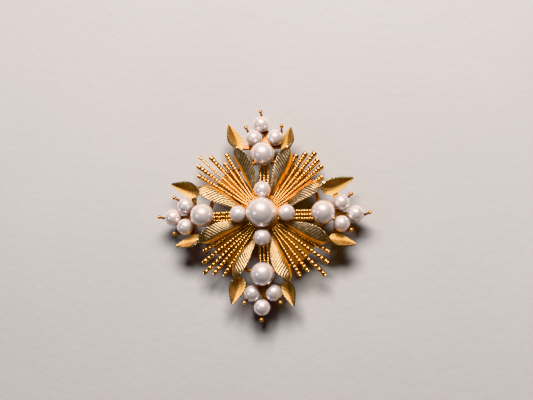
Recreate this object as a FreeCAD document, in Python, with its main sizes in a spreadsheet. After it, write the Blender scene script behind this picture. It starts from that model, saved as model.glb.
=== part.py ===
import FreeCAD, Part
import math
import os

import Sketcher
from FreeCAD import Placement, Rotation, Vector

# A domed spray brooch, face up (+Z), lying on its pin findings at Z = 0. +Y is the top of the brooch.
# Four arms of reeded rods carry pearls and clusters, and four fans of reeded rods fill the diagonals.
# Everything rests on one shallow cone that falls away from the centre.

SIZES = {
    # pearls
    "centre_pearl_dia": 7.0,
    "ring_pearl_dia": 4.0,
    "arm_pearl_dia": 5.5,
    "bud_pearl_dia": 3.85,
    "ring_pearl_reach": 5.6,
    "arm_pearl_reach": 14.05,
    "centre_pearl_lift": 0.62,
    "ring_pearl_lift": 0.27,
    "arm_pearl_lift": 0.36,
    "bud_pearl_lift": 0.3,
    "glue_film": 0.03,
    "peg_dia": 0.9,
    "bud_peg_dia": 0.6,
    # the cone that the rods lie on
    "cone_apex": 6.9,
    "cone_fall": 8.0,
    # hub, gallery ring and back bar
    "hub_radius": 6.2,
    "hub_flat_radius": 3.0,
    "hub_dish_radius": 4.4,
    "hub_dish_depth": 1.1,
    "ring_radius": 13.0,
    "ring_wire": 0.9,
    "solder_sink": 0.03,
    "bar_half_length": 14.6,
    "bar_width": 2.4,
    "bar_base": 3.45,
    "bar_top": 4.23,
    # rods
    "arm_rod_dia": 0.86,
    "arm_rod_pitch": 0.88,
    "arm_rod_start": 3.2,
    "arm_rod_end": 16.2,
    "fan_rod_start": 3.6,
    "fan_rod_root_dia": 0.3,
    "fan_widest_tip_dia": 1.4,
    "fan_wide_tip_dia": 1.22,
    "fan_rod_tip_dia": 1.12,
    "fan_thin_tip_dia": 0.66,
    "fan_web_start": 6.1,
    "fan_web_end": 13.7,
    "fan_web_rise": 0.17,
    "fan_web_thickness": 0.24,
    # bud clusters at the arm ends
    "bud_reach": 17.5,
    "bud_tilt": 14.0,
    "bud_plate": 0.8,
    "bud_disc_dia": 2.3,
    "bud_side": 2.47,
    "bud_front": 3.3,
    "stay_half_length": 5.6,
    "stay_width": 0.9,
    "stay_back": 1.5,
    "bead_dia": 0.9,
    "bead_wire_root": 0.56,
    "bead_wire_neck": 0.42,
    "bead_elbow_reach": 1.95,
    "bead_elbow_lift": 0.15,
    "bead_reach": 2.65,
    "bead_lift": 3.9,
    "bead_spread": 40.0,
    # twisted leaves
    "leaf_thickness": 0.4,
    "leaf_rib_share": 0.68,
    "leaf_rib_rise": 0.24,
    "leaf_post_dia": 0.8,
    # pin, hinge and safety catch
    "pin_line": 0.0,
    "pin_height": 1.75,
    "hinge_x": -11.9,
    "catch_x": 12.1,
    "hinge_width": 3.0,
    "ear_gap": 2.2,
    "ear_thickness": 0.6,
    "bridge_depth": 0.6,
    "rivet_dia": 1.0,
    "rivet_head_dia": 1.7,
    "rivet_head_height": 0.3,
    "running_gap": 0.05,
    "knuckle_dia": 2.0,
    "pin_dia": 1.0,
    "pin_collar_dia": 1.24,
    "pin_collar_end": 1.9,
    "pin_straight_end": 22.0,
    "pin_taper_end": 25.1,
    "pin_taper_dia": 0.86,
    "pin_tip_end": 26.9,
    "pin_tip_dia": 0.06,
    "catch_dia": 3.5,
    "catch_width": 2.4,
    "catch_bore_dia": 1.8,
    "rotor_dia": 2.8,
    "rotor_bore_dia": 1.44,
    "rotor_width": 1.1,
    "mouth_half_angle": 46.0,
    "lever_angle": 328.0,
    "lever_thickness": 0.7,
    "lever_width": 0.7,
    "lever_reach": 2.5,
    "window_from": 206.0,
    "window_to": 344.0,
    "wedge_reach": 3.0,
}

ARMS = {"east": 0, "north": 90, "west": 180, "south": 270}

# How far each arm's cluster sits out and to its left of the regular place, then its front pearl, and
# how much longer its front bead wire is.
BUD_SETTINGS = {
    "east": ((0.0, 0.1), (0.0, -0.1), 0.35),
    "north": ((0.3, -0.1), (0.3, 0.9), -0.25),
    "west": ((0.45, -0.33), (-0.1, 0.05), 0.0),
    "south": ((0.05, -0.23), (0.0, -0.32), 0.0),
}

# Each fan: every rod's turn from the diagonal, in degrees, and the reach of its tip.
FANS = {
    "north_east": (45, [(-11.5, 16.2), (-4.3, 17.7), (1.2, 18.1), (6.5, 18.9), (11.8, 17.6), (17.4, 16.1)]),
    "north_west": (135, [(-13.6, 17.5), (-8.5, 15.8), (-3.4, 19.4), (1.7, 21.6), (6.8, 20.2), (12.1, 18.8)]),
    "south_west": (225, [(-16.6, 16.2), (-9.4, 17.8), (-2.8, 19.3), (2.6, 17.8), (9.8, 16.6)]),
    "south_east": (315, [(-14.7, 16.2), (-7.4, 16.6), (0.0, 19.8), (7.8, 18.4), (15.0, 17.2)]),
}
# How far the rods open out at their tips, by fan, and the one rod that stays thin.
FAN_TIPS = {
    "north_east": "fan_widest_tip_dia",
    "north_west": "fan_wide_tip_dia",
    "south_west": "fan_rod_tip_dia",
    "south_east": "fan_rod_tip_dia",
}
THIN_ROD = ("north_west", 4)

# A leaf in its arm's frame, root to tip. At each station: the edge that starts beside the arm and
# crosses over to the fan, then the edge that starts beside the fan and passes under it. Both are
# given as distance out, distance aside and height.
LEAF_STATIONS = [
    ((5.0, 1.60, 6.40), (5.0, 2.15, 6.25)),
    ((6.7, 1.75, 7.15), (6.7, 3.30, 6.75)),
    ((8.8, 2.10, 7.85), (8.6, 4.70, 6.80)),
    ((10.9, 2.65, 8.40), (10.7, 5.95, 6.60)),
    ((12.7, 3.55, 8.75), (12.6, 6.75, 6.25)),
    ((14.0, 4.60, 8.85), (14.0, 6.65, 5.60)),
    ((15.0, 5.95, 8.60), (14.7, 5.45, 5.05)),
    ((15.8, 7.05, 8.10), (15.5, 4.55, 4.80)),
    ((17.0, 7.70, 7.45), (16.9, 4.50, 4.80)),
    ((18.6, 7.85, 6.75), (18.5, 5.25, 5.00)),
    ((20.0, 7.70, 6.15), (20.0, 6.45, 5.35)),
    ((21.0, 7.55, 5.75), (21.0, 7.30, 5.65)),
]
LEAF_REGULAR = {"root": 5.0, "cross": 15.0, "tip": 21.0}

# Each leaf was bent by hand: where it crosses over, where its tip ends, and how far it stands off
# the regular leaf at a third of its length, just past the crossing and at the tip.
LEAVES = {
    "east_left": {"cross": 13.6, "tip": 20.7, "aside": (0.8, 0.3, 0.85)},
    "east_right": {"cross": 15.2, "tip": 21.1, "aside": (0.0, -0.1, -0.35)},
    "north_left": {"cross": 16.1, "tip": 21.8, "aside": (-0.4, 0.6, 0.9)},
    "north_right": {"cross": 15.5, "tip": 20.7, "aside": (-0.1, -0.7, -1.3)},
    "west_left": {"cross": 14.9, "tip": 20.7, "aside": (-0.8, -0.7, -0.95)},
    "west_right": {"cross": 15.6, "tip": 21.9, "aside": (0.5, 0.45, 0.65)},
    "south_left": {"cross": 15.6, "tip": 21.1, "aside": (-0.6, -0.6, -0.7)},
    "south_right": {"cross": 14.5, "tip": 20.3, "aside": (0.6, 0.1, 0.1)},
}
HANDS = {"left": 1, "right": -1}

doc = FreeCAD.newDocument("Brooch")
sheet = doc.addObject("Spreadsheet::Sheet", "Sizes")
for row, (alias, number) in enumerate(SIZES.items(), start=1):
    sheet.set(f"A{row}", alias.replace("_", " "))
    sheet.set(f"B{row}", str(number))
    sheet.setAlias(f"B{row}", alias)
doc.recompute()

parts = []


def size(alias):
    return float(getattr(sheet, alias))


def named(thing, label):
    """Marks an object of the document as a sub-part under its label."""
    thing.Label = label
    parts.append(thing)
    return thing


def cone_height(reach):
    """Height of the resting cone at a distance from the centre."""
    return size("cone_apex") - reach * math.tan(math.radians(size("cone_fall")))


def turned(degrees):
    return Placement(Vector(), Rotation(Vector(0, 0, 1), degrees))


def bud_frame(arm):
    """Frame of an arm's cluster plate: X outwards along the plate, Z square to its top face."""
    out, aside = BUD_SETTINGS[arm][0]
    reach = size("bud_reach") + out
    rod_end = size("arm_rod_end")
    fall = math.tan(math.radians(size("bud_tilt")))
    height = cone_height(rod_end) + size("solder_sink") - (reach - rod_end) * fall
    tilt = Rotation(Vector(0, 1, 0), size("bud_tilt"))
    return turned(ARMS[arm]).multiply(Placement(Vector(reach, aside, height), tilt))


# Part primitives whose sizes follow the sheet


def primitive(kind, label, place, **sizes):
    thing = doc.addObject("Part::" + kind, label)
    for name, expression in sizes.items():
        thing.setExpression(name, expression)
    thing.Placement = place
    return thing


def boolean(kind, label, base, tool):
    thing = doc.addObject("Part::" + kind, label)
    thing.Base = base
    thing.Tool = tool
    return thing


def group(label, members):
    thing = doc.addObject("Part::Compound", label)
    thing.Links = members
    return thing


def fused(label, members):
    thing = doc.addObject("Part::MultiFuse", label)
    thing.Shapes = members
    return thing


def rod_between(label, start, end, root, tip):
    """A straight tapered rod between two points, with its diameters as expressions."""
    run = end - start
    rod = doc.addObject("Part::Cone", label)
    rod.setExpression("Radius1", f"({root}) / 2")
    rod.setExpression("Radius2", f"({tip}) / 2")
    rod.Height = run.Length
    rod.Placement = Placement(start, Rotation(Vector(0, 0, 1), run))
    return rod


# Sketches for PartDesign bodies


def origin_plane(body, role):
    return next(f for f in body.Origin.OriginFeatures if f.Role == role)


def new_sketch(body, name, role):
    sketch = body.newObject("Sketcher::SketchObject", name)
    sketch.AttachmentSupport = [(origin_plane(body, role), "")]
    sketch.MapMode = "FlatFace"
    return sketch


def pin_point(sketch, line, axis, expression):
    """Ties the start of a line to the sketch's origin, at a distance given by an expression."""
    distance = float(sheet.evalExpression(expression))
    ends = (-1, 1, line, 1)
    if distance < 0:
        ends = (line, 1, -1, 1)
        expression = f"-({expression})"
    index = sketch.addConstraint(Sketcher.Constraint("Distance" + axis, *ends, abs(distance)))
    sketch.setExpression(f"Constraints[{index}]", expression)


def outline(body, name, role, corners):
    """A closed outline of straight lines whose corners are pairs of expressions."""
    sketch = new_sketch(body, name, role)
    spots = [Vector(*(float(sheet.evalExpression(e)) for e in corner), 0) for corner in corners]
    count = len(spots)
    for i in range(count):
        sketch.addGeometry(Part.LineSegment(spots[i], spots[(i + 1) % count]), False)
    for i in range(count):
        sketch.addConstraint(Sketcher.Constraint("Coincident", i, 2, (i + 1) % count, 1))
    for i, (across, up) in enumerate(corners):
        pin_point(sketch, i, "X", across)
        pin_point(sketch, i, "Y", up)
    return sketch


def circles(body, name, role, radii):
    """Circles about the sketch's origin, with their radii as expressions."""
    sketch = new_sketch(body, name, role)
    for radius in radii:
        value = float(sheet.evalExpression(radius))
        ring = sketch.addGeometry(Part.Circle(Vector(), Vector(0, 0, 1), value), False)
        sketch.addConstraint(Sketcher.Constraint("Coincident", ring, 3, -1, 1))
        index = sketch.addConstraint(Sketcher.Constraint("Radius", ring, value))
        sketch.setExpression(f"Constraints[{index}]", radius)
    return sketch


def wedge(body, name, start, end):
    """A wedge in the YZ plane from the origin out past the catch, between two angles."""
    reach = "Sizes.wedge_reach"
    middle = f"(({start}) + ({end})) / 2"
    corners = [("0", "0")]
    for angle in (start, middle, end):
        corners.append((f"{reach} * cos({angle})", f"{reach} * sin({angle})"))
    return outline(body, name, "YZ_Plane", corners)


def feature(body, kind, name, sketch, **settings):
    """Adds a feature made from a sketch. Text settings are expressions for its lengths."""
    thing = body.newObject("PartDesign::" + kind, name)
    thing.Profile = sketch
    for key, setting in settings.items():
        if key in ("Length", "Angle"):
            thing.setExpression(key, setting)
        else:
            setattr(thing, key, setting)
    sketch.Visibility = False
    return thing


def both_ways(body, kind, name, sketch, width):
    """A pad or pocket of the whole width, half on each side of its sketch."""
    return feature(body, kind, name, sketch, SideType="Symmetric", Length=width)


# Frame: hub, gallery ring and back bar


def make_hub():
    body = doc.addObject("PartDesign::Body", "Hub")
    fall = "tan(Sizes.cone_fall)"
    profile = outline(
        body,
        "HubProfile",
        "XZ_Plane",
        [
            ("0", "Sizes.bar_top + Sizes.hub_dish_depth"),
            ("Sizes.hub_dish_radius", "Sizes.bar_top + Sizes.hub_dish_depth"),
            ("Sizes.hub_dish_radius", "Sizes.bar_top"),
            ("Sizes.hub_radius", "Sizes.bar_top"),
            ("Sizes.hub_radius", f"Sizes.cone_apex - Sizes.hub_radius * {fall}"),
            ("Sizes.hub_flat_radius", f"Sizes.cone_apex - Sizes.hub_flat_radius * {fall}"),
            ("0", f"Sizes.cone_apex - Sizes.hub_flat_radius * {fall}"),
        ],
    )
    feature(body, "Revolution", "HubTurned", profile, ReferenceAxis=(profile, ["V_Axis"]), Angle="360")
    named(body, "hub")


def make_gallery_ring():
    height = cone_height(size("ring_radius")) - size("ring_wire") / 2 + size("solder_sink")
    ring = primitive(
        "Torus",
        "GalleryRing",
        Placement(Vector(0, 0, height), Rotation()),
        Radius1="Sizes.ring_radius",
        Radius2="Sizes.ring_wire / 2",
    )
    named(ring, "gallery_ring")
    return height


def make_back_bar():
    body = doc.addObject("PartDesign::Body", "BackBar")
    long, wide = "Sizes.bar_half_length", "Sizes.bar_width / 2"
    plan = outline(
        body,
        "BarPlan",
        "XY_Plane",
        [(f"-{long}", f"-{wide}"), (long, f"-{wide}"), (long, wide), (f"-{long}", wide)],
    )
    feature(body, "Pad", "BarPad", plan, Length="Sizes.bar_top - Sizes.bar_base")
    doc.recompute()
    ends = body.newObject("PartDesign::Fillet", "BarEnds")
    upright = [
        f"Edge{n}"
        for n, edge in enumerate(body.Shape.Edges, start=1)
        if abs(edge.BoundBox.ZLength) > edge.BoundBox.XLength + edge.BoundBox.YLength
    ]
    ends.Base = (body.Tip if body.Tip is not ends else body.Group[-2], upright)
    ends.setExpression("Radius", "Sizes.bar_width / 2.1")
    body.Placement = Placement(Vector(0, size("pin_line"), size("bar_base")), Rotation())
    named(body, "back_bar")


# Pearls on pegs


def pearl(label, place, dia, peg, film="Sizes.glue_film"):
    """A pearl about the frame's origin, drilled from below to past its middle."""
    ball = primitive("Sphere", label + "_ball", place, Radius=f"{dia} / 2")
    below = place.multiply(Placement(Vector(0, 0, -size(dia.split(".")[1]) / 2 - 1), Rotation()))
    hole = primitive(
        "Cylinder", label + "_hole", below, Radius=f"{peg} / 2 + {film}", Height=f"{dia} * 0.68 + 1"
    )
    named(boolean("Cut", label + "_drilled", ball, hole), label)


def cup(label, place, dia, peg, drop, foot, rim):
    """A flared cup with its peg. drop is how far its foot lies under the pearl's middle."""
    lower = place.multiply(Placement(Vector(0, 0, -drop), Rotation()))
    pearl_radius = size(dia.split(".")[1]) / 2
    rim_drop = math.sqrt(pearl_radius**2 - (rim * pearl_radius) ** 2)
    flare = primitive(
        "Cone", label + "_flare", lower, Radius1=f"{dia} / 2 * {foot}", Radius2=f"{dia} / 2 * {rim}"
    )
    flare.Height = drop - rim_drop
    hollow = primitive("Sphere", label + "_hollow", place, Radius=f"{dia} / 2 + Sizes.glue_film")
    bowl = boolean("Cut", label + "_bowl", flare, hollow)
    post = primitive("Cylinder", label + "_peg", lower, Radius=f"{peg} / 2")
    post.Height = drop + pearl_radius * 0.3
    return boolean("Fuse", label + "_cup", bowl, post)


def pearl_place(turn, reach, height):
    return turned(turn).multiply(Placement(Vector(reach, 0, height), Rotation()))


def rod_top(reach):
    fall = math.cos(math.radians(size("cone_fall")))
    return cone_height(reach) + size("arm_rod_dia") / fall


def make_centre_pearl():
    base = cone_height(size("hub_flat_radius"))
    drop = size("centre_pearl_lift") + size("centre_pearl_dia") / 2
    place = pearl_place(0, 0, base + drop)
    pearl("centre_pearl", place, "Sizes.centre_pearl_dia", "Sizes.peg_dia")
    named(cup("centre", place, "Sizes.centre_pearl_dia", "Sizes.peg_dia", drop, 0.45, 0.66), "centre_cup")


def make_ring_pearls():
    reach = size("ring_pearl_reach")
    drop = size("ring_pearl_lift") + size("ring_pearl_dia") / 2
    cups = []
    for arm, turn in ARMS.items():
        place = pearl_place(turn, reach, rod_top(reach) + drop)
        pearl(f"ring_pearl_{arm}", place, "Sizes.ring_pearl_dia", "Sizes.bud_peg_dia")
        foot_drop = drop + 0.14
        cups.append(
            cup(f"ring_{arm}", place, "Sizes.ring_pearl_dia", "Sizes.bud_peg_dia", foot_drop, 0.4, 0.58)
        )
    named(group("RingCups", cups), "ring_cups")


def make_arm_pearls():
    reach = size("arm_pearl_reach")
    drop = size("arm_pearl_lift") + size("arm_pearl_dia") / 2
    for arm, turn in ARMS.items():
        place = pearl_place(turn, reach, rod_top(reach) + drop)
        pearl(f"arm_pearl_{arm}", place, "Sizes.arm_pearl_dia", "Sizes.peg_dia")
        foot_drop = drop + 0.2
        named(
            cup(f"arm_{arm}", place, "Sizes.arm_pearl_dia", "Sizes.peg_dia", foot_drop, 0.42, 0.6),
            f"arm_cup_{arm}",
        )


# Rods


def make_arm_rods():
    lean = size("arm_rod_dia") / 2 / math.cos(math.radians(size("cone_fall")))
    for arm, turn in ARMS.items():
        rods = []
        for n, side in enumerate((-1, 0, 1), start=1):
            ends = [
                turned(turn).multVec(
                    Vector(reach, side * size("arm_rod_pitch"), cone_height(reach) + lean)
                )
                for reach in (size("arm_rod_start"), size("arm_rod_end"))
            ]
            rods.append(
                rod_between(f"arm_rod_{arm}_{n}", *ends, "Sizes.arm_rod_dia", "Sizes.arm_rod_dia")
            )
        named(group(f"ArmRods_{arm}", rods), f"arm_rods_{arm}")


def fan_web(fan, diagonal, rods):
    """A thin sloping sheet under a fan, from its first rod to its last, that the rods are soldered into."""
    near, far, deep = size("fan_web_start"), size("fan_web_end"), size("fan_web_thickness")
    tops = [Vector(reach, 0, cone_height(reach) + size("fan_web_rise")) for reach in (near, far)]
    corners = [tops[0], tops[1], tops[1] - Vector(0, 0, deep), tops[0] - Vector(0, 0, deep), tops[0]]
    first, last = rods[0][0], rods[-1][0]
    profile = doc.addObject("Part::Feature", f"fan_web_profile_{fan}")
    profile.Shape = Part.Face(Part.makePolygon([turned(diagonal + first).multVec(c) for c in corners]))
    web = doc.addObject("Part::Revolution", f"fan_web_{fan}")
    web.Source = profile
    web.Axis = Vector(0, 0, 1)
    web.Base = Vector(0, 0, 0)
    web.Angle = last - first
    web.Solid = True
    return web


def make_fans():
    fall = math.cos(math.radians(size("cone_fall")))
    sink = size("solder_sink") / 2
    for fan, (diagonal, rods) in FANS.items():
        made = []
        for n, (turn, reach) in enumerate(rods, start=1):
            spots = []
            tip = "fan_thin_tip_dia" if (fan, n) == THIN_ROD else FAN_TIPS[fan]
            for distance, dia in ((size("fan_rod_start"), "fan_rod_root_dia"), (reach, tip)):
                radius = size(dia) / 2
                height = cone_height(distance) + radius / fall - sink
                spots.append(turned(diagonal + turn).multVec(Vector(distance, 0, height)))
            made.append(
                rod_between(f"fan_rod_{fan}_{n}", *spots, "Sizes.fan_rod_root_dia", f"Sizes.{tip}")
            )
        made.append(fan_web(fan, diagonal, rods))
        named(fused(f"Fan_{fan}", made), f"fan_{fan}")


# Bud clusters: a trefoil plate with three pegs, a stay to the leaves, and three bead-ended wires


def bud_spots(arm):
    """Where the three pearls of a cluster stand on its plate, and which way their bead wires point."""
    side, spread = size("bud_side"), size("bead_spread")
    out, aside = BUD_SETTINGS[arm][1]
    return {
        "left": (Vector(0, side, 0), spread),
        "right": (Vector(0, -side, 0), -spread),
        "front": (Vector(size("bud_front") + out, aside, 0), 0.0),
    }


def make_bud_cluster(arm):
    frame = bud_frame(arm)
    rise = size("bud_pearl_lift") + size("bud_pearl_dia") / 2
    plate = Placement(Vector(0, 0, -size("bud_plate")), Rotation())
    metal = []
    wires = []
    for bud, (spot, spread) in bud_spots(arm).items():
        at = frame.multiply(Placement(spot, Rotation()))
        label = f"bud_{arm}_{bud}"
        metal.append(
            primitive(
                "Cylinder",
                label + "_disc",
                at.multiply(plate),
                Radius="Sizes.bud_disc_dia / 2",
                Height="Sizes.bud_plate",
            )
        )
        seat = at.multiply(Placement(Vector(0, 0, rise), Rotation()))
        pearl(f"bud_pearl_{arm}_{bud}", seat, "Sizes.bud_pearl_dia", "Sizes.bud_peg_dia")
        metal.append(
            cup(label, seat, "Sizes.bud_pearl_dia", "Sizes.bud_peg_dia", rise + 0.2, 0.4, 0.56)
        )
        extra = BUD_SETTINGS[arm][2] if bud == "front" else 0.0
        wires.append(make_bead_wire(label, at, spread, extra))
    for name, corner, long, wide in (
        ("spine", (-2.1, -0.6), 5.0, "1.2"),
        ("stay", (-size("stay_back"), -size("stay_half_length")), 0.0, "Sizes.stay_half_length * 2"),
        ("web", (-0.6, -size("bud_side")), 1.2, "Sizes.bud_side * 2"),
    ):
        at = frame.multiply(Placement(Vector(*corner, -size("bud_plate")), Rotation()))
        bar = primitive("Box", f"bud_{arm}_{name}", at, Width=wide, Height="Sizes.bud_plate")
        if name == "stay":
            bar.setExpression("Length", "Sizes.stay_width")
        else:
            bar.Length = long
        metal.append(bar)
    named(fused(f"BudMount_{arm}", metal), f"bud_mount_{arm}")
    named(group(f"BeadWires_{arm}", wires), f"bead_wires_{arm}")


def make_bead_wire(label, at, spread, extra):
    """A wire that leaves the disc under the pearl, turns up outside the pearl and ends in a bead."""
    away = Rotation(Vector(0, 0, 1), spread).multVec(Vector(1, 0, 0))
    middle = -size("bud_plate") / 2
    start = at.multVec(away * 0.85 + Vector(0, 0, middle))
    elbow = at.multVec(away * size("bead_elbow_reach") + Vector(0, 0, size("bead_elbow_lift")))
    end = at.multVec(away * (size("bead_reach") + extra) + Vector(0, 0, size("bead_lift")))
    root, neck = "Sizes.bead_wire_root", "Sizes.bead_wire_neck"
    pieces = [
        rod_between(label + "_foot", start, elbow, root, root),
        primitive("Sphere", label + "_elbow", Placement(elbow, Rotation()), Radius=f"{root} / 2"),
        rod_between(label + "_stalk", elbow, end, root, neck),
        primitive("Sphere", label + "_bead", Placement(end, Rotation()), Radius="Sizes.bead_dia / 2"),
    ]
    return fused(label + "_bead_wire", pieces)


# Leaves: folded along a rib and twisted half a turn, so that the tip shows the other face


def eased(share):
    share = min(max(share, 0.0), 1.0)
    return share * share * (3 - 2 * share)


def leaf_offset(leaf, out):
    """How far a leaf stands off the regular one at a distance out."""
    marks = [LEAF_REGULAR["root"], 10.5, 16.5, LEAF_REGULAR["tip"]]
    asides = [0.0, *leaf["aside"]]
    for n in range(3):
        if out <= marks[n + 1]:
            share = eased((out - marks[n]) / (marks[n + 1] - marks[n]))
            return asides[n] + (asides[n + 1] - asides[n]) * share
    return asides[-1]


def leaf_reach(leaf, out):
    """Stretches the regular leaf's distances out to a leaf's own crossing and tip."""
    root, cross, tip = (LEAF_REGULAR[k] for k in ("root", "cross", "tip"))
    if out <= cross:
        return root + (out - root) * (leaf["cross"] - root) / (cross - root)
    return leaf["cross"] + (out - cross) * (leaf["tip"] - leaf["cross"]) / (tip - cross)


def leaf_edges(leaf):
    """The two edges of a leaf as lists of points, in its arm's frame."""
    edges = ([], [])
    for station in LEAF_STATIONS:
        for edge, (out, aside, height) in zip(edges, station):
            edge.append(Vector(leaf_reach(leaf, out), aside + leaf_offset(leaf, out), height))
    return edges


def leaf_face(first, second, n):
    """Which way the front of a leaf looks at a station."""
    before, after = max(n - 1, 0), min(n + 1, len(first) - 1)
    along = (first[after] + second[after]) - (first[before] + second[before])
    return along.cross(second[n] - first[n]).normalize()


def leaf_section(first, second, n, hand):
    """The closed fold across a leaf: a wide half from the first edge to the rib, then a steep one."""
    across = second[n] - first[n]
    face = leaf_face(first, second, n)
    rib = first[n] + across * size("leaf_rib_share") + face * (across.Length * size("leaf_rib_rise"))
    skin = face * (size("leaf_thickness") / 2)
    line = [first[n], rib, second[n]]
    corners = [p + skin for p in line] + [p - skin for p in reversed(line)]
    corners = [Vector(p.x, p.y * hand, p.z) for p in corners]
    return Part.makePolygon(corners + corners[:1])


def make_leaves():
    for name, leaf in LEAVES.items():
        arm, side = name.split("_")
        edges = leaf_edges(leaf)
        sections = [leaf_section(*edges, n, HANDS[side]) for n in range(len(LEAF_STATIONS))]
        thing = doc.addObject("Part::Feature", f"Leaf_{name}")
        thing.Shape = Part.makeLoft(sections, True, False)
        thing.Placement = turned(ARMS[arm])
        named(thing, f"leaf_{name}")


def leaf_over_ring(leaf):
    """The point under a leaf's rib that stands over the gallery ring."""
    first, second = leaf_edges(leaf)
    share = 0.5 / size("leaf_rib_share") * size("leaf_rib_rise")
    middles = []
    for n in range(len(first)):
        across = second[n] - first[n]
        middles.append(first[n] + across * 0.5 + leaf_face(first, second, n) * (across.Length * share))
    spans = [math.hypot(p.x, p.y) for p in middles]
    n = next(i for i, span in enumerate(spans) if span > size("ring_radius"))
    part = (size("ring_radius") - spans[n - 1]) / (spans[n] - spans[n - 1])
    return middles[n - 1] + (middles[n] - middles[n - 1]) * part


def make_leaf_posts(ring_height):
    posts = []
    for name, leaf in LEAVES.items():
        arm, side = name.split("_")
        top = leaf_over_ring(leaf)
        foot = Vector(top.x, top.y * HANDS[side], ring_height)
        post = primitive(
            "Cylinder",
            f"leaf_post_{name}",
            turned(ARMS[arm]).multiply(Placement(foot, Rotation())),
            Radius="Sizes.leaf_post_dia / 2",
        )
        post.Height = top.z - ring_height
        posts.append(post)
    named(group("LeafPosts", posts), "leaf_posts")


# Findings: hinge, pin and safety catch


def hinge_place():
    return Placement(Vector(size("hinge_x"), size("pin_line"), size("pin_height")), Rotation())


def catch_place():
    return Placement(Vector(size("catch_x"), size("pin_line"), size("pin_height")), Rotation())


def make_hinge_bracket():
    body = doc.addObject("PartDesign::Body", "HingeBracket")
    wide = "Sizes.hinge_width / 2"
    top = "Sizes.bar_base - Sizes.pin_height"
    whole = "Sizes.ear_gap + 2 * Sizes.ear_thickness"
    block = outline(
        body,
        "EarShape",
        "XZ_Plane",
        [
            (f"-{wide}", "-Sizes.pin_height + 1.2"),
            (f"-{wide} + 1.2", "-Sizes.pin_height"),
            (f"{wide} - 1.2", "-Sizes.pin_height"),
            (wide, "-Sizes.pin_height + 1.2"),
            (wide, top),
            (f"-{wide}", top),
        ],
    )
    both_ways(body, "Pad", "EarBlock", block, whole)
    gap = outline(
        body,
        "GapShape",
        "XZ_Plane",
        [
            (f"-{wide} - 1", "-Sizes.pin_height - 1"),
            (f"{wide} + 1", "-Sizes.pin_height - 1"),
            (f"{wide} + 1", f"{top} - Sizes.bridge_depth"),
            (f"-{wide} - 1", f"{top} - Sizes.bridge_depth"),
        ],
    )
    both_ways(body, "Pocket", "EarGap", gap, "Sizes.ear_gap")
    hole = circles(body, "RivetHole", "XZ_Plane", ["Sizes.rivet_dia / 2"])
    both_ways(body, "Pocket", "RivetBore", hole, f"{whole} + 2")
    body.Placement = hinge_place()
    named(body, "hinge_bracket")


def make_hinge_rivet():
    body = doc.addObject("PartDesign::Body", "HingeRivet")
    end = "Sizes.ear_gap / 2 + Sizes.ear_thickness"
    shank, head = "Sizes.rivet_dia / 2", "Sizes.rivet_head_dia / 2"
    high = "Sizes.rivet_head_height"
    profile = outline(
        body,
        "RivetProfile",
        "XY_Plane",
        [
            ("0", f"-({end}) - {high}"),
            (f"{head} * 0.6", f"-({end}) - {high}"),
            (head, f"-({end})"),
            (shank, f"-({end})"),
            (shank, end),
            (head, end),
            (f"{head} * 0.6", f"{end} + {high}"),
            ("0", f"{end} + {high}"),
        ],
    )
    feature(body, "Revolution", "RivetTurned", profile, ReferenceAxis=(profile, ["V_Axis"]), Angle="360")
    body.Placement = hinge_place()
    named(body, "hinge_rivet")


def make_pin_stem():
    body = doc.addObject("PartDesign::Body", "PinStem")
    knuckle = circles(body, "KnuckleRound", "XZ_Plane", ["Sizes.knuckle_dia / 2"])
    both_ways(body, "Pad", "Knuckle", knuckle, "Sizes.ear_gap - 2 * Sizes.running_gap")
    stem = outline(
        body,
        "StemProfile",
        "XY_Plane",
        [
            ("0.8", "0"),
            ("0.8", "Sizes.pin_collar_dia / 2"),
            ("Sizes.pin_collar_end", "Sizes.pin_dia / 2"),
            ("Sizes.pin_straight_end", "Sizes.pin_dia / 2"),
            ("Sizes.pin_taper_end", "Sizes.pin_taper_dia / 2"),
            ("Sizes.pin_tip_end", "Sizes.pin_tip_dia / 2"),
            ("Sizes.pin_tip_end", "0"),
        ],
    )
    feature(body, "Revolution", "Stem", stem, ReferenceAxis=(stem, ["H_Axis"]), Angle="360")
    bore = circles(body, "KnuckleBore", "XZ_Plane", ["Sizes.rivet_dia / 2 + Sizes.running_gap"])
    both_ways(body, "Pocket", "KnuckleHole", bore, "Sizes.ear_gap + 2")
    body.Placement = hinge_place()
    named(body, "pin_stem")


def make_catch_body():
    body = doc.addObject("PartDesign::Body", "CatchBody")
    barrel = circles(body, "BarrelRound", "YZ_Plane", ["Sizes.catch_dia / 2"])
    both_ways(body, "Pad", "Barrel", barrel, "Sizes.catch_width")
    half, top = "Sizes.catch_dia / 2 * 0.8", "Sizes.bar_base - Sizes.pin_height"
    foot = outline(
        body, "FootShape", "YZ_Plane", [(f"-{half}", "0"), (half, "0"), (half, top), (f"-{half}", top)]
    )
    both_ways(body, "Pad", "Foot", foot, "Sizes.catch_width")
    bore = circles(body, "BoreRound", "YZ_Plane", ["Sizes.catch_bore_dia / 2"])
    both_ways(body, "Pocket", "Bore", bore, "Sizes.catch_width + 2")
    inner = "Sizes.catch_bore_dia / 2 - 0.2"
    outer = "Sizes.rotor_dia / 2 + Sizes.running_gap"
    deep = "Sizes.rotor_width / 2 + Sizes.running_gap"
    channel = outline(
        body,
        "ChannelProfile",
        "XY_Plane",
        [(f"-({deep})", inner), (deep, inner), (deep, outer), (f"-({deep})", outer)],
    )
    feature(body, "Groove", "Channel", channel, ReferenceAxis=(channel, ["H_Axis"]), Angle="360")
    mouth = wedge(body, "MouthShape", "270 - Sizes.mouth_half_angle", "270 + Sizes.mouth_half_angle")
    both_ways(body, "Pocket", "Mouth", mouth, "Sizes.catch_width + 2")
    window = wedge(body, "WindowShape", "Sizes.window_from", "Sizes.window_to")
    both_ways(body, "Pocket", "Window", window, "Sizes.lever_width + 2 * Sizes.running_gap")
    body.Placement = catch_place()
    named(body, "catch_body")


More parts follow.
